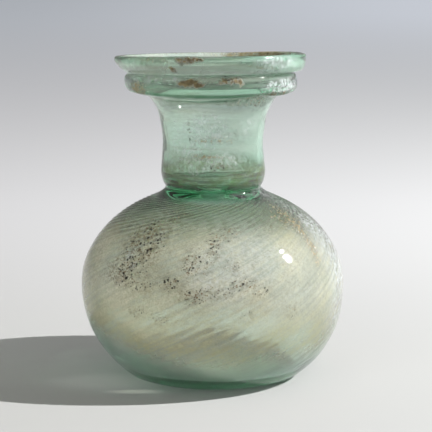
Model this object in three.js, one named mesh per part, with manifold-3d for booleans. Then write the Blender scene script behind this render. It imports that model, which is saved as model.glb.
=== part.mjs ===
// A small blown-glass perfume flask with twisted ribs, millimetres, +Z up.
// It is one piece of glass: a round body on a flattened base, a drawn-in ring with a narrow
// passage through it, a short neck, a rounded collar and a flaring lip above it.
// The body, the neck with its rim, and the hollow are lathe shapes. The body's rows are
// turned along the ribs and pushed out or in by them. Every shape takes the same lean, the
// neck is joined to the body, and the hollow is cut out of both.

import * as THREE from 'three';
import { mergeVertices } from 'three/addons/utils/BufferGeometryUtils.js';
import Module from 'manifold-3d';

// Body
const bodyRadius = 36.3;
const equatorHeight = 25.5;
const shoulderRise = 27.2;
const shoulderFullness = 2.04;
const bellyDrop = 31.2;
const bellyFullness = 2.14;
const shoulderTop = 48.6;

// Base
const baseFlatInner = 13.5;
const baseFlatOuter = 18.5;
const baseHollow = 0.9;
const baseHollowRadius = 7.4;
const baseTurnReach = 2.6;
const baseTurnHeight = 1.4;

// Ring at the foot of the neck, and the passage through it
const ringRadius = 16.6;
const ringHeight = 50;
const ringSlope = 1.8;
const creaseRadius = 13.1;
const creaseHeight = 52.7;
const passageRadius = 3.5;
const passageTop = 53.6;
const passageBottom = 51.2;

// Neck
const neckBulgeRadius = 14.4;
const neckBulgeHeight = 56.4;
const neckWaistRadius = 13.8;
const neckWaistHeight = 65;
const neckTurnRadius = 14.8;
const neckTurnHeight = 72;
const neckFlareRadius = 17;
const neckFlareHeight = 76.8;

// Collar and lip
const collarRadius = 23.4;
const collarBottom = 78.8;
const collarTop = 82.5;
const collarUndercut = 4.4;
const collarRounding = 2.2;
const grooveRadius = 22.8;
const grooveHeight = 83.7;
const lipRadius = 26.1;
const lipBottom = 85.3;
const rimRadius = 25;
const rimHeight = 88.3;
const mouthRadius = 24;

// Walls
const bodyWall = 1.4;
const baseWall = 2.4;
const neckWall = 1.6;

// Ribs
const ribCount = 46;
const ribRise = 27;
const ribDepth = 0.12;
const ribFoot = 5;
const ribFull = 14;

// How the finished flask leans, and how its rim is out of true
const bodyShift = -0.2;
const baseShift = 0.5;
const rimShift = -0.75;
const rimLift = 0.6;
const rimTilt = 0.8;
const leanStart = 76;
const leanEnd = 84;
const rimPitch = 2.8;
const pitchStart = 76;
const pitchEnd = 85;
const lipSag = 1.1;
const lipBulge = 0.8;
const sagHeight = 85;
const sagSpread = 1.3;

// Columns round each shape, and rows along the stretches of the wall
const bodyColumns = ribCount * 2;
const neckColumns = 40;
const hollowColumns = 32;
const neckRows = 6;
const bendRows = 3;
const insideRows = 5;
const insideBodyRows = 8;
const windingSteps = 24;

const glassColor = 0xa3bda8;
const glassRoughness = 0.15;

const point = (x, y) => new THREE.Vector2(x, y);
const bend = (rows, ...corners) => new THREE.CubicBezierCurve(...corners).getPoints(rows);
const sweep = (rows, ...corners) => new THREE.QuadraticBezierCurve(...corners).getPoints(rows);

// Radius of the round body at a height: one superellipse half above the widest level and
// another below it, drawn in by the wall for the inside.
function bodyOutline(height, wall = 0) {
  const above = height > equatorHeight;
  const reach = (above ? shoulderRise : bellyDrop) - wall;
  const fullness = above ? shoulderFullness : bellyFullness;
  const part = Math.abs(height - equatorHeight) / reach;
  return (bodyRadius - wall) * (1 - part ** fullness) ** (1 / fullness);
}

// Outline points a whole rib apart in winding. A rib climbs the wall at a steady slope, so
// one rib's turn takes a longer stretch of wall where the body is wide.
function ribbedPoints() {
  const turnPerStep = 2 * Math.PI / ribCount / windingSteps;
  const climb = Math.tan(THREE.MathUtils.degToRad(ribRise)) * turnPerStep;
  const lift = 0.01;
  const points = [];
  let height = ribFoot;
  let step = 0;
  while (height < shoulderTop) {
    const radius = bodyOutline(height);
    if (step % windingSteps === 0) {
      points.push(point(radius, height));
    }
    const drift = (bodyOutline(height + lift) - radius) / lift;
    height += climb * radius / Math.hypot(1, drift);
    step += 1;
  }
  return points;
}

function bodyProfile(ribbed) {
  const hollow = [point(0, baseHollow), point(baseHollowRadius, baseHollow * 0.75)];
  const turn = sweep(2, point(baseFlatOuter, 0), point(baseFlatOuter + baseTurnReach, 0),
    point(bodyOutline(baseTurnHeight), baseTurnHeight));
  const ring = bend(bendRows, point(ringRadius, ringHeight), point(ringRadius - ringSlope, ringHeight + 1),
    point(creaseRadius + 0.3, creaseHeight - 1), point(creaseRadius, creaseHeight));
  const buried = point(creaseRadius - 2, creaseHeight + 0.8);
  return [
    ...hollow, point(baseFlatInner, 0), ...turn, ...ribbed, ...ring,
    buried, point(0, buried.y)];
}

function neckProfile() {
  const neck = new THREE.SplineCurve([
    point(creaseRadius, creaseHeight), point(neckBulgeRadius, neckBulgeHeight),
    point(neckWaistRadius, neckWaistHeight), point(neckTurnRadius, neckTurnHeight),
    point(neckFlareRadius, neckFlareHeight)]).getPoints(neckRows);
  const foot = sweep(bendRows, point(collarRadius - collarUndercut, collarBottom - 0.4),
    point(collarRadius, collarBottom - 0.3), point(collarRadius, collarBottom + collarRounding));
  const lip = bend(bendRows + 1, point(lipRadius - 0.7, lipBottom),
    point(lipRadius + 0.4, lipBottom + 1), point(lipRadius + 0.2, rimHeight),
    point(rimRadius, rimHeight));
  const buried = point(creaseRadius - 1, creaseHeight - 1.2);
  return [
    point(0, buried.y), buried, ...neck, ...foot, point(collarRadius - 0.1, collarTop),
    point(grooveRadius, grooveHeight), ...lip, point(0, rimHeight)];
}

// The hollow, from its floor up to a plug that stands past the mouth.
function hollowProfile() {
  const neckInside = neckWaistRadius - neckWall;
  const floorTurn = baseWall + 1.6;
  const bodyTop = shoulderTop - 1;
  const body = [];
  for (let row = 0; row <= insideBodyRows; row += 1) {
    const part = (1 - Math.cos(Math.PI * row / insideBodyRows)) / 2;
    const height = THREE.MathUtils.lerp(floorTurn, bodyTop, part);
    body.push(point(bodyOutline(height, bodyWall), height));
  }
  const passage = [point(passageRadius, passageBottom), point(passageRadius, passageTop)];
  const funnel = bend(bendRows, point(passageRadius + 1.5, passageTop + 0.6),
    point(neckInside, passageTop + 1), point(neckInside + 0.6, neckBulgeHeight - 1),
    point(neckInside + 0.4, neckBulgeHeight + 2));
  const mouth = bend(insideRows, point(neckInside, neckWaistHeight),
    point(neckInside + 0.6, collarBottom - 1), point(mouthRadius - 3.4, collarTop - 2.2),
    point(mouthRadius - 0.6, rimHeight - 0.8));
  const plugTop = rimHeight + 2;
  return [
    point(0, baseWall + 0.5), point(baseFlatInner, baseWall), ...body, ...passage, ...funnel,
    ...mouth, point(mouthRadius, rimHeight - 0.1), point(mouthRadius, plugTop), point(0, plugTop)];
}

// The flask's own small lean: body and mouth to one side and base back to the other. The rim
// stands out of level both ways, and its lip hangs lower and fuller on the right.
function lean(vertex) {
  const { degToRad, smoothstep } = THREE.MathUtils;
  const up = smoothstep(vertex.z, leanStart, leanEnd);
  const pitched = smoothstep(vertex.z, pitchStart, pitchEnd);
  const down = 1 - smoothstep(vertex.z, 0, equatorHeight);
  const onBody = 1 - smoothstep(vertex.z, equatorHeight, creaseHeight);
  const onRight = smoothstep(vertex.x / Math.max(Math.hypot(vertex.x, vertex.y), 1), 0.1, 0.9);
  const sag = onRight * Math.exp(-(((vertex.z - sagHeight) / sagSpread) ** 2));
  vertex.z += up * (rimLift + vertex.x * Math.tan(degToRad(rimTilt)));
  vertex.z -= pitched * vertex.y * Math.tan(degToRad(rimPitch)) + sag * lipSag;
  vertex.x += bodyShift * onBody + baseShift * down + rimShift * up + lipBulge * sag;
}

// A lathe shape stood upright. place gives a row's winding, in radians, and its push out
// on the even columns, which is as far in on the odd ones.
function standingLathe(profile, columns, place) {
  const geometry = new THREE.LatheGeometry(profile, columns);
  const positions = geometry.attributes.position;
  const vertex = new THREE.Vector3();
  for (let column = 0; column <= columns; column += 1) {
    for (let row = 0; row < profile.length; row += 1) {
      const { x: radius, y: height } = profile[row];
      const { winding, push } = place(height);
      const out = column % 2 === 0 ? push : -push;
      const angle = (column % columns) / columns * 2 * Math.PI + winding;
      const spread = radius * (1 + out / bodyRadius);
      vertex.set(spread * Math.cos(angle), spread * Math.sin(angle),
        height + out * (height - equatorHeight) / shoulderRise);
      lean(vertex);
      positions.setXYZ(column * profile.length + row, vertex.x, vertex.y, vertex.z);
    }
  }
  return geometry;
}

const plain = () => ({ winding: 0, push: 0 });

function ribbedPlace(ribbed) {
  return (height) => {
    const row = ribbed.findIndex((spot) => spot.y >= height);
    const rowsWound = row < 0 ? ribbed.length : row;
    return {
      winding: (rowsWound % ribCount) * 2 * Math.PI / ribCount,
      push: row < 0 ? 0 : ribDepth * THREE.MathUtils.smoothstep(height, ribFoot, ribFull) };
  };
}

const wasm = await Module();
wasm.setup();

function solidFrom(geometry) {
  geometry.deleteAttribute('normal');
  geometry.deleteAttribute('uv');
  const closed = mergeVertices(geometry);
  return new wasm.Manifold(new wasm.Mesh({
    numProp: 3, vertProperties: closed.attributes.position.array, triVerts: closed.index.array }));
}

function geometryFrom(solid) {
  const mesh = solid.getMesh();
  const geometry = new THREE.BufferGeometry();
  geometry.setAttribute('position', new THREE.BufferAttribute(mesh.vertProperties, 3));
  geometry.setIndex(new THREE.BufferAttribute(mesh.triVerts, 1));
  return geometry;
}

function flaskGeometry() {
  const ribbed = ribbedPoints();
  const body = solidFrom(standingLathe(bodyProfile(ribbed), bodyColumns, ribbedPlace(ribbed)));
  const neck = solidFrom(standingLathe(neckProfile(), neckColumns, plain));
  const hollow = solidFrom(standingLathe(hollowProfile(), hollowColumns, plain));
  return geometryFrom(body.add(neck).subtract(hollow));
}

// Stands the flask with the middle of its box over the origin and its base at zero.
function centreOnBase(geometry) {
  geometry.computeBoundingBox();
  const { min, max } = geometry.boundingBox;
  geometry.translate(-(min.x + max.x) / 2, -(min.y + max.y) / 2, -min.z);
  return geometry;
}

const glass = new THREE.MeshStandardMaterial({
  color: glassColor, roughness: glassRoughness, metalness: 0 });
const flask = new THREE.Mesh(centreOnBase(flaskGeometry()), glass);
flask.name = 'flask';

const group = new THREE.Group();
group.add(flask);

export default group;
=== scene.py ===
import math

import bmesh
import bpy
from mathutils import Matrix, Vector, noise


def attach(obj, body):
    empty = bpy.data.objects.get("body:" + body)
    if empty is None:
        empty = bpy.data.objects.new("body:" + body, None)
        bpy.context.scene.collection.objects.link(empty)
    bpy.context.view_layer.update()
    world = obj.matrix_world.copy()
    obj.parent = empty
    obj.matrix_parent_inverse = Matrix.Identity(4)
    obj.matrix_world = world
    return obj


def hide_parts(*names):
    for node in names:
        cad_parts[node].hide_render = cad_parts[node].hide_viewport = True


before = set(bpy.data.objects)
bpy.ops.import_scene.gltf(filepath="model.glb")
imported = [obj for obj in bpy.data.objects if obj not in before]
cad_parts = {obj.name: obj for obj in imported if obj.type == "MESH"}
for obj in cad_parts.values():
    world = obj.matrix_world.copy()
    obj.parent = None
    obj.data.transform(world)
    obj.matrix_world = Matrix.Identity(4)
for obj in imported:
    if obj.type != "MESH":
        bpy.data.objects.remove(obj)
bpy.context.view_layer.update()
mm = 0.001


# camera
cameraSetup = {"distance": 459.3, "height": 122.6, "pitch": 9.69, "fieldOfView": 14.62, "aimX": 0.8}


def placeCamera(setup):
    data = bpy.data.cameras.new("camera")
    data.angle = math.radians(setup["fieldOfView"])
    data.clip_start = 0.01
    data.clip_end = 20
    camera = bpy.data.objects.new("camera", data)
    camera.location = (setup["aimX"] * mm, -setup["distance"] * mm, setup["height"] * mm)
    camera.rotation_euler = (math.radians(90 - setup["pitch"]), 0, 0)
    bpy.context.scene.collection.objects.link(camera)
    bpy.context.scene.camera = camera


placeCamera(cameraSetup)
print("camera placed")


# the flask's walls, in millimetres until the mesh is written
flaskShape = {
    "bodyRadius": 36.3, "equator": 25.5, "shoulderRise": 27.2, "shoulderFullness": 2.04,
    "bellyDrop": 31.2, "bellyFullness": 2.14, "bellyFoot": 1.4, "shoulderTop": 48.6,
    "bodyWall": 1.4, "innerFoot": 4.0, "bodyRows": 84, "innerBodyRows": 32, "columnsPerRib": 8,
}
ribbing = {
    "count": 46, "rise": 27, "depth": 0.036, "shoulderDepth": 0.065, "lowShare": 0.3, "uneven": 0.9,
    "start": 5, "full": 14, "end": 51,
}
leaning = {
    "bodyShift": -0.2, "bodyEnd": 52.7, "baseShift": 0.5, "rimShift": -0.75, "rimLift": 0.6, "rimTilt": 0.8,
    "start": 76, "end": 84, "rimPitch": 2.8, "pitchStart": 76, "pitchEnd": 85,
    "lipSag": 1.1, "lipBulge": 0.8, "sagHeight": 85, "sagSpread": 1.3,
}
handMade = {
    "bodyWave": 0.16, "smallWave": 0.035, "neckLines": 0.035, "neckFrom": 52, "rimWave": 0.25, "rimFrom": 78,
    "mouthFrom": 84,
}


def smoothStep(low, high, value):
    part = min(max((value - low) / (high - low), 0), 1)
    return part * part * (3 - 2 * part)


def flowing(corners, rowsPerSpan):  # an even curve through the corners
    ends = [corners[0]] + corners + [corners[-1]]
    points = []
    for i in range(1, len(ends) - 2):
        a, b, c, d = (Vector(ends[j]) for j in (i - 1, i, i + 1, i + 2))
        for k in range(rowsPerSpan):
            t = k / rowsPerSpan
            points.append(0.5 * (2 * b + (c - a) * t + (2 * a - 5 * b + 4 * c - d) * t ** 2
                                 + (3 * b - a - 3 * c + d) * t ** 3))
    points.append(Vector(corners[-1]))
    return points


def bodyCurve(shape, low, high, rows, wall):  # the round body between two heights
    def reachAt(above):
        return (shape["shoulderRise"] if above else shape["bellyDrop"]) - wall

    def turnAt(height):
        return math.asin((height - shape["equator"]) / reachAt(height > shape["equator"]))

    points = []
    for row in range(rows + 1):
        turn = turnAt(low) + (turnAt(high) - turnAt(low)) * row / rows
        power = shape["shoulderFullness"] if turn > 0 else shape["bellyFullness"]
        part = abs(math.sin(turn))
        radius = (shape["bodyRadius"] - wall) * (1 - part ** power) ** (1 / power)
        points.append(Vector((radius, shape["equator"] + reachAt(turn > 0) * math.sin(turn))))
    return points


def outsideCurve(shape):
    body = bodyCurve(shape, shape["bellyFoot"], shape["shoulderTop"], shape["bodyRows"], 0)
    base = flowing([(0, 0.9), (6, 0.75), (11, 0.2), (13.5, 0), (18.5, 0), (21.3, 0.35), tuple(body[0])], 3)
    neck = flowing([
        tuple(body[-1]), (16.5, 50.1), (14.5, 51.2), (13.2, 52.6), (13.9, 54.3), (14.4, 57),
        (14.05, 61), (13.8, 65.5), (14.3, 69.5), (15.15, 73.5), (17, 76.8), (18.5, 78.2),
    ], 3)
    rim = flowing([
        tuple(neck[-1]), (20.8, 78.4), (22.8, 79.1), (23.5, 80.7), (23.4, 82.5), (22.8, 83.6),
        (24.6, 84.9), (26, 86.6), (26, 87.9), (25, 88.3),
    ], 4)
    return base[:-1] + body[:-1] + neck[:-1] + rim


def insideCurve(shape):
    top = shape["shoulderTop"] - 1
    body = bodyCurve(shape, shape["innerFoot"], top, shape["innerBodyRows"], shape["bodyWall"])
    mouth = flowing([
        (24.1, 88.05), (23.3, 87), (21.8, 84.6), (18.9, 81.2), (15.6, 77.2), (13.3, 72), (12.15, 66),
        (12.2, 60), (12.4, 57), (10.6, 55), (6.5, 54.4), (3.7, 53.6), (3.5, 52.4), (4.3, 51.4), (9, 50.3),
        (14, 49.4), tuple(body[-1]),
    ], 3)
    foot = flowing([tuple(body[0]), (20, 2.75), (13, 2.45), (6, 2.8), (0, 2.9)], 3)
    return mouth[:-1] + body[::-1] + foot[1:]


def wallRows(shape, ribs):  # every row of the wall with its normal, its winding and its side
    outside, inside = outsideCurve(shape), insideCurve(shape)
    points = outside + inside
    perLength = 1 / math.tan(math.radians(ribs["rise"]))
    winding, rows = 0, []
    for i, point in enumerate(points):
        before, after = points[max(i - 1, 0)], points[min(i + 1, len(points) - 1)]
        along = (after - before).normalized()
        onOutside = i < len(outside)
        if onOutside and shape["bellyFoot"] < point.y < ribs["end"]:
            winding += perLength * (point - before).length / point.x
        rows.append({"radius": point.x, "height": point.y, "normal": Vector((along.y, -along.x)),
                     "winding": winding, "outside": onOutside})
    outerRows = rows[:len(outside)]
    for row in rows[len(outside):]:  # the inside turns back down with the outside
        nearest = min(outerRows, key=lambda other: abs(other["height"] - row["height"]))
        row["winding"] = nearest["winding"]
    return rows


def spinWall(rows, columns):  # spins the wall into a closed shell that remembers each vertex's row
    mesh = bmesh.new()
    rowLayer = mesh.verts.layers.int.new("row")
    verts = []
    for i, row in enumerate(rows):
        vert = mesh.verts.new((row["radius"], 0, row["height"]))
        vert[rowLayer] = i
        verts.append(vert)
    edges = [mesh.edges.new(pair) for pair in zip(verts, verts[1:])]
    bmesh.ops.spin(mesh, geom=verts + edges, cent=(0, 0, 0), axis=(0, 0, 1), angle=2 * math.pi,
                   steps=columns, use_merge=True)
    bmesh.ops.remove_doubles(mesh, verts=mesh.verts, dist=0.0005)
    bmesh.ops.recalc_face_normals(mesh, faces=mesh.faces)
    return mesh, rowLayer


collarAir = {
    "radius": 21, "height": 81.7, "halfWidth": 1.5, "halfHeight": 1.1, "lift": 0.35, "swell": 0.25,
    "around": 128, "across": 16,
}


def makeCollarAir(air):  # the ring of air that the rim's fold keeps, a closed surface facing inwards
    mesh = bmesh.new()
    bmesh.ops.create_circle(mesh, segments=air["across"], radius=1)
    for vert in mesh.verts:
        wide, high = vert.co.x * air["halfWidth"], vert.co.y * air["halfHeight"]
        vert.co = (air["radius"] + wide, 0, air["height"] + high + air["lift"] * wide)
    bmesh.ops.spin(mesh, geom=mesh.verts[:] + mesh.edges[:], cent=(0, 0, 0), axis=(0, 0, 1),
                   angle=2 * math.pi, steps=air["around"], use_merge=True)
    bmesh.ops.recalc_face_normals(mesh, faces=mesh.faces)
    bmesh.ops.reverse_faces(mesh, faces=mesh.faces)
    for vert in mesh.verts:
        spot = Vector((vert.co.x, vert.co.y, 0)).normalized()
        middle = spot * air["radius"] + Vector((0, 0, air["height"]))
        swelling = 1 + air["swell"] * noise.noise(spot * 1.3 + Vector((0, 0, 5)))
        place = middle + (vert.co - middle) * swelling
        lean(place, leaning)
        vert.co = place * mm
    data = bpy.data.meshes.new("collar_air")
    mesh.to_mesh(data)
    mesh.free()
    return data


# weathering, each patch as (degrees round from the front, height, half width, half height, strength)
weathering = {
    "pits": [
        (-37, 41, 7, 6, 0.95), (-43, 34, 7, 4, 0.95), (-30, 46, 5, 4, 0.6), (-31, 32, 5, 4, 0.6),
        (-18, 32, 3, 2, 0.9), (-9, 37, 3, 4, 0.85), (1, 41, 2, 4, 0.9), (-4, 37, 3, 3, 0.6),
        (-8, 29, 4, 2, 0.95), (1, 30, 5, 2, 0.75), (13, 32, 4, 2, 0.95), (9, 37, 3, 3, 0.65),
        (9, 44, 3, 2, 0.7), (-33, 24, 3, 2, 0.7), (-22, 23, 3, 2, 0.7), (-13, 22, 4, 2, 0.3),
        (21, 30, 3, 1.6, 0.7), (20, 37, 2, 2, 0.4), (34, 31, 3, 3, 0.35), (35, 24, 3, 3, 0.5),
        (15, 24, 3, 1.5, 0.5), (28, 45, 5, 2, 0.4), (-26, 69, 0.5, 4, 0.7), (-22, 65, 1, 2, 0.5),
        (7, 60, 3, 1, 0.9), (-38, 60, 2, 3, 0.5), (-15, 61, 4, 2, 0.4), (-62, 30, 6, 5, 0.3),
        (130, 36, 8, 6, 0.6), (165, 30, 7, 6, 0.5), (215, 40, 7, 5, 0.6), (250, 27, 6, 5, 0.4),
        (150, 64, 4, 3, 0.5), (13, 82.4, 4, 1.4, 0.6),
    ],
    "crust": [
        (-13, 87.4, 4.5, 0.9, 1.1), (-24, 85, 1.8, 0.8, 0.9), (-12, 81.7, 4.6, 1, 1.3),
        (14, 82, 4.2, 1.1, 1.05), (52, 79.1, 9, 0.5, 0.9), (125, 88, 12, 0.8, 0.7), (95, 88.3, 9, 0.6, 0.5),
        (200, 88, 8, 0.8, 0.6), (235, 81, 6, 1.4, 0.7), (165, 82, 5, 1.2, 0.6), (62, 42, 1.6, 8, 0.5),
        (48, 76.2, 2.5, 1.5, 0.7),
    ],
    "ochre": [
        (-58, 80.3, 4.6, 1.8, 1), (120, 81, 6, 1.6, 0.7), (36, 77.5, 6, 1.6, 0.6), (56, 46, 7, 3, 0.6),
        (-150, 80.5, 5, 1.8, 0.6), (143, 87.4, 14, 1.6, 1.1), (0, 66.4, 8, 0.7, 1), (-8, 62.6, 5, 0.5, 0.9),
        (10, 71.5, 6, 0.6, 0.8), (-38, 87.4, 8, 0.6, 0.5), (57, 43, 1.6, 8, 0.95), (54, 36, 1.2, 4, 0.7),
    ],
    "milkAndGlints": [
        (4, 35, 9, 8, 0.72), (19, 38, 9, 8, 0.6), (45, 51.3, 9, 1.4, 0.22), (-16, 62, 8, 6, 0.8),
        (8, 61, 7, 4, 0.6), (-8, 70, 9, 5, 0.7), (-45, 66, 3, 9, 0.6), (40, 71, 5, 4, 0.45),
        (56, 80.6, 8, 1.8, 1.2), (46, 86.6, 8, 1.6, 0.8), (77, 36, 10, 15, 1.2), (73, 22, 8, 9, 0.9),
        # the two small strong patches at -42 and -38 degrees are painted glints on the body's left
        (40, 30, 10, 9, 0.35), (-50, 33, 6, 5, 0.35), (-42, 38, 0.9, 1.6, 1.4), (-38, 35.5, 0.6, 1, 1.3),
        (180, 30, 16, 10, 0.6), (230, 36, 12, 9, 0.5), (190, 64, 8, 5, 0.6), (10, 84, 14, 0.8, 0.6),
        (-38, 82.4, 13, 1.4, 0.62), (-68, 81.8, 7, 1.8, 0.7), (-60, 86, 8, 1.2, 0.4),
    ],
}


def ribWave(turn, ribs):
    wave = math.cos(turn * ribs["count"])
    return wave * (1 - 0.25 * wave)


def lean(place, how):  # a small lean, a rim out of level both ways, and a lip that hangs fuller on the right
    up = smoothStep(how["start"], how["end"], place.z)
    pitched = smoothStep(how["pitchStart"], how["pitchEnd"], place.z)
    down = 1 - smoothStep(0, flaskShape["equator"], place.z)
    onBody = 1 - smoothStep(flaskShape["equator"], how["bodyEnd"], place.z)
    onRight = smoothStep(0.1, 0.9, place.x / max(math.hypot(place.x, place.y), 1))
    sag = onRight * math.exp(-((place.z - how["sagHeight"]) / how["sagSpread"]) ** 2)
    place.z += up * (how["rimLift"] + place.x * math.tan(math.radians(how["rimTilt"])))
    place.z -= pitched * place.y * math.tan(math.radians(how["rimPitch"])) + sag * how["lipSag"]
    place.x += how["bodyShift"] * onBody + how["baseShift"] * down
    place.x += how["rimShift"] * up + how["lipBulge"] * sag


def patchAmount(patches, angle, radius, height):
    most = 0
    for degrees, level, halfWidth, halfHeight, strength in patches:
        rise = (height - level) / halfHeight
        if abs(rise) > 1.6:
            continue
        turn = (angle + math.pi / 2 - math.radians(degrees) + math.pi) % (2 * math.pi) - math.pi
        across = turn * radius / halfWidth
        most = max(most, strength * (1 - smoothStep(0.4, 1.5, math.hypot(across, rise))))
    return most


def makeFlask(shape, ribs, hand, weather):
    rows = wallRows(shape, ribs)
    mesh, rowLayer = spinWall(rows, ribs["count"] * shape["columnsPerRib"])
    grainLayer = mesh.verts.layers.float_vector.new("grain")
    ribLayer = mesh.verts.layers.float.new("rib")
    outsideLayer = mesh.verts.layers.float.new("outside")
    patchLayers = {name: mesh.verts.layers.float.new(name) for name in weather}
    for vert in mesh.verts:
        row = rows[vert[rowLayer]]
        turn = math.atan2(vert.co.y, vert.co.x)
        height, radius = row["height"], row["radius"]
        fadeIn = smoothStep(ribs["start"], ribs["full"], height)
        wave = ribWave(turn, ribs) * (fadeIn * (1 - smoothStep(ribs["end"] - 2, ribs["end"], height)))
        depth = 0
        if row["outside"]:  # the ribs are faint below and deepest on the shoulder
            depth = ribs["depth"] * (ribs["lowShare"] + (1 - ribs["lowShare"]) * smoothStep(20, 36, height))
            depth += ribs["shoulderDepth"] * smoothStep(38, 50, height)
        angle = turn + row["winding"]
        spot = Vector((math.cos(angle), math.sin(angle), 0))
        place = spot * radius + Vector((0, 0, height))
        uneven = noise.noise(place * 0.09) * hand["bodyWave"] + noise.noise(place * 0.45) * hand["smallWave"]
        if height > hand["neckFrom"]:
            uneven += noise.noise(Vector((spot.x, spot.y, height * 0.9))) * hand["neckLines"]
        if height > hand["rimFrom"]:
            uneven += noise.noise(spot * 1.7 + Vector((0, 0, height * 0.12))) * hand["rimWave"]
        push = wave * depth * (1 + ribs["uneven"] * noise.noise(place * 0.13))
        push += uneven * smoothStep(0.5, 4, height)  # the foot stays flat
        place += spot * row["normal"].x * push + Vector((0, 0, row["normal"].y * push))
        lean(place, leaning)
        vert.co = place * mm
        vert[grainLayer] = (math.cos(turn), math.sin(turn), height * mm)
        vert[ribLayer] = wave
        vert[outsideLayer] = 1 if row["outside"] else 0
        showing = row["outside"] or height > hand["mouthFrom"]
        for name, layer in patchLayers.items():
            vert[layer] = patchAmount(weather[name], angle, radius, height) if showing else 0
    mesh.from_mesh(makeCollarAir(collarAir))
    for face in mesh.faces:
        face.smooth = True
    data = bpy.data.meshes.new("glass_flask")
    mesh.to_mesh(data)
    mesh.free()
    flask = bpy.data.objects.new("glass_flask", data)
    bpy.context.scene.collection.objects.link(flask)
    return flask


flask = makeFlask(flaskShape, ribbing, handMade, weathering)
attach(flask, "root")
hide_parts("flask")
print("flask blown:", len(flask.data.polygons), "faces")


# the glass and what the ground has left on it
glassSetup = {
    "ior": 1.5, "absorbColor": (0.08, 0.775, 0.45, 1), "absorbDensity": 112,
    "clean": (0.97, 0.99, 0.98, 1), "cleanPaintedShade": (0.83, 0.855, 0.825, 1),
    "film": (0.76, 0.72, 0.56, 1), "filmLow": (0.47, 0.44, 0.26, 1), "mottle": (0.45, 0.41, 0.29, 1),
    "milkAndGlints": (0.84, 0.88, 0.91, 1), "mouth": (0.78, 0.76, 0.64, 1), "ochre": (0.43, 0.33, 0.17, 1),
    "olive": (0.22, 0.27, 0.10, 1), "paintedShadeGreen": (0.07, 0.25, 0.13, 1), "stain": (0.26, 0.20, 0.10, 1),
    "crust": (0.10, 0.072, 0.032, 1), "crustPale": (0.31, 0.24, 0.12, 1),
    "pit": (0.03, 0.024, 0.016, 1), "pitBrown": (0.15, 0.085, 0.035, 1),
    # how far each layer hides the glass under it
    "hides": {"hazeAndSideShade": 0.58, "inMouth": 0.6, "olive": 0.3, "shadeUnderCollar": 0.45, "milkAndGlints": 0.68,
              "stain": 0.58, "ochre": 0.7, "crust": 0.85, "pits": 1.0},
    # noises over the surface, as (per millimetre, detail, roughness)
    "cloud": (0.11, 5, 0.6), "fine": (1.1, 5, 0.75), "grit": (0.62, 6, 0.75), "mottling": (2.4, 4, 0.7),
    "ripple": (1.2, 2, 0.5),
    # heights in millimetres where the film fades out above the base, and where the neck's begins
    "filmFoot": (3.5, 15.5), "filmTop": (52, 40), "neckFoot": (54, 60),
    "smooth": 0.045, "dull": 0.6, "murk": 0.2, "bump": 0.4, "bumpDepth": 0.0002,
}


def addNode(tree, kind, **inputs):  # a node with its inputs set or linked by name
    node = tree.nodes.new(kind)
    for name, value in inputs.items():
        socket = node.inputs[name.replace("_", " ")]
        if isinstance(value, bpy.types.NodeSocket):
            tree.links.new(value, socket)
        else:
            socket.default_value = value
    return node


def attribute(tree, name, output="Fac"):
    node = tree.nodes.new("ShaderNodeAttribute")
    node.attribute_name = name
    return node.outputs[output]


def calculate(tree, operation, first, second=0.0):
    node = tree.nodes.new("ShaderNodeMath")
    node.operation = operation
    for socket, value in zip(node.inputs, (first, second)):
        if isinstance(value, bpy.types.NodeSocket):
            tree.links.new(value, socket)
        else:
            socket.default_value = value
    return node.outputs[0]


def multiply(tree, *values):
    total = values[0]
    for value in values[1:]:
        total = calculate(tree, "MULTIPLY", total, value)
    return total


def scaleVector(tree, vector, by):
    node = tree.nodes.new("ShaderNodeVectorMath")
    node.operation = "MULTIPLY"
    tree.links.new(vector, node.inputs[0])
    node.inputs[1].default_value = by
    return node.outputs[0]


def remap(tree, value, low, high, toLow=0.0, toHigh=1.0):
    node = addNode(tree, "ShaderNodeMapRange", Value=value, From_Min=low, From_Max=high,
                   To_Min=toLow, To_Max=toHigh)
    node.interpolation_type = "SMOOTHSTEP"
    return node.outputs["Result"]


def blendColor(tree, amount, first, second):
    node = tree.nodes.new("ShaderNodeMix")
    node.data_type = "RGBA"
    for index, value in ((0, amount), (6, first), (7, second)):
        if isinstance(value, bpy.types.NodeSocket):
            tree.links.new(value, node.inputs[index])
        else:
            node.inputs[index].default_value = value
    return node.outputs[2]


def noiseOn(tree, vector, scale, detail=3.0, roughness=0.55):
    return addNode(tree, "ShaderNodeTexNoise", Vector=vector, Scale=scale, Detail=detail,
                   Roughness=roughness).outputs["Fac"]


def addSpecks(tree, inMm, amount, scale, reach):  # round marks, each cell's own chance setting its size
    cells = addNode(tree, "ShaderNodeTexVoronoi", Vector=inMm, Scale=scale)
    chance = addNode(tree, "ShaderNodeSeparateColor", Color=cells.outputs["Color"]).outputs["Red"]
    size = multiply(tree, amount, remap(tree, chance, 0.1, 1, 0, reach))
    return remap(tree, calculate(tree, "SUBTRACT", size, cells.outputs["Distance"]), -0.04, 0.05), chance


def addRagged(tree, amount, grit, softness):  # a patch torn at its edges and holed inside
    torn = calculate(tree, "ADD", amount, multiply(tree, calculate(tree, "SUBTRACT", grit, 0.5), 4.0))
    edge = remap(tree, torn, 0.85 - softness, 0.85 + softness)
    return multiply(tree, edge, remap(tree, amount, 0.02, 0.15))


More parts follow.
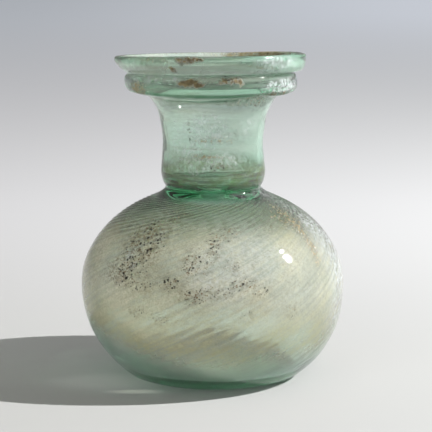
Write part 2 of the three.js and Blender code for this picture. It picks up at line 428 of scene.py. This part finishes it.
def makeGlass(setup):
    material = bpy.data.materials.new("weatheredGlass")
    material.use_nodes = True
    tree = material.node_tree
    shader, output = tree.nodes["Principled BSDF"], tree.nodes["Material Output"]
    inMm = scaleVector(tree, addNode(tree, "ShaderNodeTexCoord").outputs["Object"], (1000, 1000, 1000))
    apart = addNode(tree, "ShaderNodeSeparateXYZ", Vector=inMm)
    across, height = apart.outputs["X"], apart.outputs["Z"]
    outside = attribute(tree, "outside")
    cloud, fine, grit = (noiseOn(tree, inMm, *setup[name]) for name in ("cloud", "fine", "grit"))
    alongRibs = scaleVector(tree, attribute(tree, "grain", "Vector"), (15, 15, 70))
    streak = noiseOn(tree, alongRibs, 1.0, 4, 0.65)

    # a beige film on the body, streaked along the ribs, clear at the ring and near the base
    lowerEdge = calculate(tree, "SUBTRACT", height, remap(tree, across, -36, -6, 7, 0))
    onBody = multiply(tree, remap(tree, lowerEdge, *setup["filmFoot"], 0.05),
                      remap(tree, height, *setup["filmTop"]))
    # the film is laid thicker on the left and thinner on the right, on the body and the neck, a painted light
    # and shade that evens out the key lamp from the right
    bodyHazeAndSideShade = multiply(tree, onBody, remap(tree, streak, 0.36, 0.62, 0.8, 1.1), outside,
                        remap(tree, across, -32, 34, 1.15, 0.85))
    onNeck = remap(tree, height, *setup["neckFoot"], 0, 0.3)
    rings = noiseOn(tree, scaleVector(tree, inMm, (0.05, 0.05, 0.7)), 1.0, 4, 0.7)
    neckHazeAndSideShade = multiply(tree, onNeck, remap(tree, rings, 0.38, 0.66, 0.4, 1.3), outside,
                        remap(tree, across, -8, 12, 1.3, 0.35))
    hazeAndSideShade = calculate(tree, "MAXIMUM", bodyHazeAndSideShade, neckHazeAndSideShade)
    hazeAndSideShade = multiply(tree, hazeAndSideShade, remap(tree, cloud, 0.32, 0.68, 0.8, 1.1),
                    remap(tree, fine, 0.3, 0.7, 0.82, 1.16))
    inMouth = multiply(tree, calculate(tree, "SUBTRACT", 1.0, outside), remap(tree, height, 79, 84),
                       remap(tree, cloud, 0.35, 0.6, 0.3, 0.6))

    # earth held above and below the ring, and a painted shade: a deep green band under the collar
    aboveRing = multiply(tree, remap(tree, height, 61.5, 57.5), remap(tree, height, 52.5, 55))
    belowRing = multiply(tree, remap(tree, height, 39, 49, 0, 0.7), remap(tree, height, 51.5, 49.5))
    olive = multiply(tree, calculate(tree, "ADD", aboveRing, belowRing), outside,
                     remap(tree, grit, 0.35, 0.6, 0.35, 1))
    shadeUnderCollar = multiply(tree, remap(tree, height, 80.4, 79.4), remap(tree, height, 77.9, 78.8), outside,
                           remap(tree, cloud, 0.3, 0.6, 0.6, 1))

    # milky patches with two small painted glints, the worn foot, and pits with their stain
    milkAndGlints = multiply(tree, attribute(tree, "milkAndGlints"), remap(tree, grit, 0.34, 0.62, 0.1, 1),
                    remap(tree, fine, 0.36, 0.6, 0.35, 1))
    worn = multiply(tree, remap(tree, height, 0.9, 0.2, 0, 0.8), outside)
    milkAndGlints = calculate(tree, "MAXIMUM", milkAndGlints, worn)
    warp = addNode(tree, "ShaderNodeTexNoise", Vector=inMm, Scale=1.4, Detail=3.0).outputs["Color"]
    warped = tree.nodes.new("ShaderNodeVectorMath")
    tree.links.new(inMm, warped.inputs[0])
    tree.links.new(scaleVector(tree, warp, (0.9, 0.9, 0.9)), warped.inputs[1])
    pitted = attribute(tree, "pits")
    bigPits, bigChance = addSpecks(tree, warped.outputs[0], pitted, 1.08, 0.47)
    smallPits, _ = addSpecks(tree, warped.outputs[0], calculate(tree, "ADD", pitted, 0.1), 2.1, 0.56)
    pits = multiply(tree, calculate(tree, "MAXIMUM", bigPits, smallPits), outside)
    stained = calculate(tree, "ADD", pitted, multiply(tree, onBody, remap(tree, height, 34, 48, 0.2, 0.4)))
    stain = multiply(tree, stained, remap(tree, grit, 0.43, 0.66, 0, 0.62), outside)
    mottled = multiply(tree, remap(tree, noiseOn(tree, inMm, *setup["mottling"]), 0.42, 0.64, 0, 0.55), hazeAndSideShade)
    crust = addRagged(tree, attribute(tree, "crust"), grit, 0.35)
    ochre = addRagged(tree, attribute(tree, "ochre"), fine, 0.5)

    # the layers' colours, from the glass outwards
    wall = multiply(tree, remap(tree, height, 12, 33), remap(tree, height, 52, 38))
    film = blendColor(tree, calculate(tree, "MAXIMUM", wall, onNeck), setup["filmLow"], setup["film"])
    # painted shade: the clear glass turns greyer on the right of the neck, the side the key lamp lights
    paintedNeckShade = multiply(tree, remap(tree, across, -8, 11), remap(tree, height, *setup["neckFoot"]),
                   remap(tree, height, 80, 76))
    clean = blendColor(tree, paintedNeckShade, setup["clean"], setup["cleanPaintedShade"])
    color = blendColor(tree, hazeAndSideShade, clean, film)
    color = blendColor(tree, mottled, color, setup["mottle"])
    color = blendColor(tree, olive, color, setup["olive"])
    # painted shade under the collar
    color = blendColor(tree, shadeUnderCollar, color, setup["paintedShadeGreen"])
    color = blendColor(tree, inMouth, color, setup["mouth"])
    color = blendColor(tree, milkAndGlints, color, setup["milkAndGlints"])
    color = blendColor(tree, stain, color, setup["stain"])
    color = blendColor(tree, ochre, color, setup["ochre"])
    crustColor = blendColor(tree, remap(tree, fine, 0.4, 0.62), setup["crust"], setup["crustPale"])
    color = blendColor(tree, crust, color, crustColor)
    pitColor = blendColor(tree, remap(tree, bigChance, 0.4, 0.7), setup["pitBrown"], setup["pit"])
    color = blendColor(tree, pits, color, pitColor)
    layers = {"inMouth": inMouth, "olive": olive, "shadeUnderCollar": shadeUnderCollar, "milkAndGlints": milkAndGlints, "stain": stain,
              "ochre": ochre, "crust": crust, "pits": pits}
    cover = multiply(tree, hazeAndSideShade, setup["hides"]["hazeAndSideShade"])
    for name, layer in layers.items():
        cover = calculate(tree, "MAXIMUM", cover, multiply(tree, layer, setup["hides"][name]))
    tree.links.new(color, shader.inputs["Base Color"])
    tree.links.new(calculate(tree, "SUBTRACT", 1.0, cover), shader.inputs["Transmission Weight"])

    # glossy glass, murkier near the base and on the left, dull where earth sits
    dull = calculate(tree, "MAXIMUM", calculate(tree, "MAXIMUM", crust, ochre), pits)
    murkLow = multiply(tree, remap(tree, lowerEdge, 28, 12, 0, setup["murk"]),
                       remap(tree, across, 4, 18, 1, 0.6))
    murk = calculate(tree, "MAXIMUM", murkLow, remap(tree, across, -20, -34, 0, setup["murk"]))
    roughness = calculate(tree, "MAXIMUM", remap(tree, dull, 0, 0.9, setup["smooth"], setup["dull"]), murk)
    tree.links.new(roughness, shader.inputs["Roughness"])
    ripple = noiseOn(tree, inMm, *setup["ripple"])
    relief = multiply(tree, ripple, calculate(tree, "ADD", multiply(tree, dull, 0.7), 0.06))
    relief = calculate(tree, "ADD", relief, multiply(tree, dull, 0.3))
    bump = addNode(tree, "ShaderNodeBump", Strength=setup["bump"], Distance=setup["bumpDepth"], Height=relief)
    tree.links.new(bump.outputs["Normal"], shader.inputs["Normal"])
    shader.inputs["IOR"].default_value = setup["ior"]
    absorb = addNode(tree, "ShaderNodeVolumeAbsorption", Color=setup["absorbColor"],
                     Density=setup["absorbDensity"])
    tree.links.new(absorb.outputs["Volume"], output.inputs["Volume"])
    return material


flask.data.materials.append(makeGlass(glassSetup))
print("glass weathered")


# floor and light
roomSetup = {
    "floorRadius": 4.0, "floorLeft": (0.615, 0.61, 0.60, 1), "floorRight": (0.575, 0.575, 0.57, 1),
    "floorRoughness": 0.9, "floorShine": 0.1,
    "glowLeft": (0.20, 0.198, 0.224, 1), "glowRight": (0.25, 0.25, 0.27, 1),
    "glowFarLeft": (0.218, 0.236, 0.281, 1), "glowFarRight": (0.39, 0.415, 0.48, 1),
    "glowEdge": (0.14, 0.15, 0.14, 1), "paintedPoolColor": (0.45, 0.47, 0.31, 1),
    # painted pools of light on the floor, where light through the glass would fall, as (across, behind,
    # reach, narrowing, brightness) in mm
    "paintedLightPools": [(4, 0, 20.5, 1, 0.9), (-30, -11, 22, 1.7, 0.21), (-21, -21.5, 11, 3.4, 0.42)],
    "world": (0.28, 0.287, 0.273, 1),
    "keyAzimuth": -5.5, "keyElevation": 39, "keyDistance": 0.84, "keySize": 0.015, "keyPower": 9.9,
    "fillAzimuth": -130, "fillElevation": 5, "fillDistance": 1.2, "fillSize": 0.6, "fillPower": 5.4,
}


def makeFloor(setup):
    mesh = bmesh.new()
    bmesh.ops.create_circle(mesh, cap_ends=True, segments=96, radius=setup["floorRadius"])
    data = bpy.data.meshes.new("floor")
    mesh.to_mesh(data)
    mesh.free()
    floor = bpy.data.objects.new("floor", data)
    bpy.context.scene.collection.objects.link(floor)
    material = bpy.data.materials.new("paleFloor")
    material.use_nodes = True
    tree = material.node_tree
    shader = tree.nodes["Principled BSDF"]
    shader.inputs["Roughness"].default_value = setup["floorRoughness"]
    shader.inputs["Specular IOR Level"].default_value = setup["floorShine"]
    place = addNode(tree, "ShaderNodeTexCoord").outputs["Object"]
    apart = addNode(tree, "ShaderNodeSeparateXYZ", Vector=place)
    across, behind = apart.outputs["X"], apart.outputs["Y"]
    away = tree.nodes.new("ShaderNodeVectorMath")
    away.operation = "LENGTH"
    tree.links.new(place, away.inputs[0])
    away = away.outputs["Value"]
    # the floor is a little darker on the right, a painted shade that evens out the key lamp's stronger light
    # there
    color = blendColor(tree, remap(tree, across, -0.1, 0.1), setup["floorLeft"], setup["floorRight"])
    tree.links.new(color, shader.inputs["Base Color"])
    # the backdrop glows a little, paler on the right, and dims towards its edge
    far = blendColor(tree, remap(tree, across, -0.4, 0.4), setup["glowFarLeft"], setup["glowFarRight"])
    near = blendColor(tree, remap(tree, across, -0.12, 0.12), setup["glowLeft"], setup["glowRight"])
    glow = blendColor(tree, remap(tree, away, 0.4, 2.1), near, far)
    glow = blendColor(tree, remap(tree, away, 2.4, 3.8), glow, setup["glowEdge"])
    strength = calculate(tree, "MAXIMUM", remap(tree, behind, -0.06, 0.32), remap(tree, away, 0.3, 0.9))
    # painted light: glowing pools on the floor under and beside the flask
    for x, y, reach, narrowing, brightness in setup["paintedLightPools"]:
        fromMiddle = tree.nodes.new("ShaderNodeVectorMath")
        fromMiddle.operation = "DISTANCE"
        tree.links.new(scaleVector(tree, place, (1, narrowing, 1)), fromMiddle.inputs[0])
        fromMiddle.inputs[1].default_value = (x * mm, y * narrowing * mm, 0)
        paintedPool = remap(tree, fromMiddle.outputs["Value"], reach * mm, reach * mm * 0.3, 0, brightness)
        glow = blendColor(tree, paintedPool, glow, setup["paintedPoolColor"])
        strength = calculate(tree, "MAXIMUM", strength, paintedPool)
    tree.links.new(glow, shader.inputs["Emission Color"])
    tree.links.new(strength, shader.inputs["Emission Strength"])
    data.materials.append(material)


def lightRoom(setup):
    world = bpy.data.worlds.new("studio")
    world.use_nodes = True
    world.node_tree.nodes["Background"].inputs["Color"].default_value = setup["world"]
    bpy.context.scene.world = world
    for name in ("key", "fill"):  # a small hard lamp from the right, and a broad one from the front left
        azimuth, elevation = math.radians(setup[name + "Azimuth"]), math.radians(setup[name + "Elevation"])
        level = math.cos(elevation)
        towards = Vector((level * math.cos(azimuth), level * math.sin(azimuth), math.sin(elevation)))
        data = bpy.data.lights.new(name + "Lamp", "AREA")
        data.shape = "DISK"
        data.size = setup[name + "Size"]
        data.energy = setup[name + "Power"]
        lamp = bpy.data.objects.new(name + "Lamp", data)
        lamp.location = towards * setup[name + "Distance"]
        lamp.rotation_euler = (-towards).to_track_quat("-Z", "Y").to_euler()
        lamp.visible_glossy = lamp.visible_transmission = name == "key"
        bpy.context.scene.collection.objects.link(lamp)


makeFloor(roomSetup)
lightRoom(roomSetup)
bpy.context.scene.view_settings.view_transform = "Standard"
print("room lit")
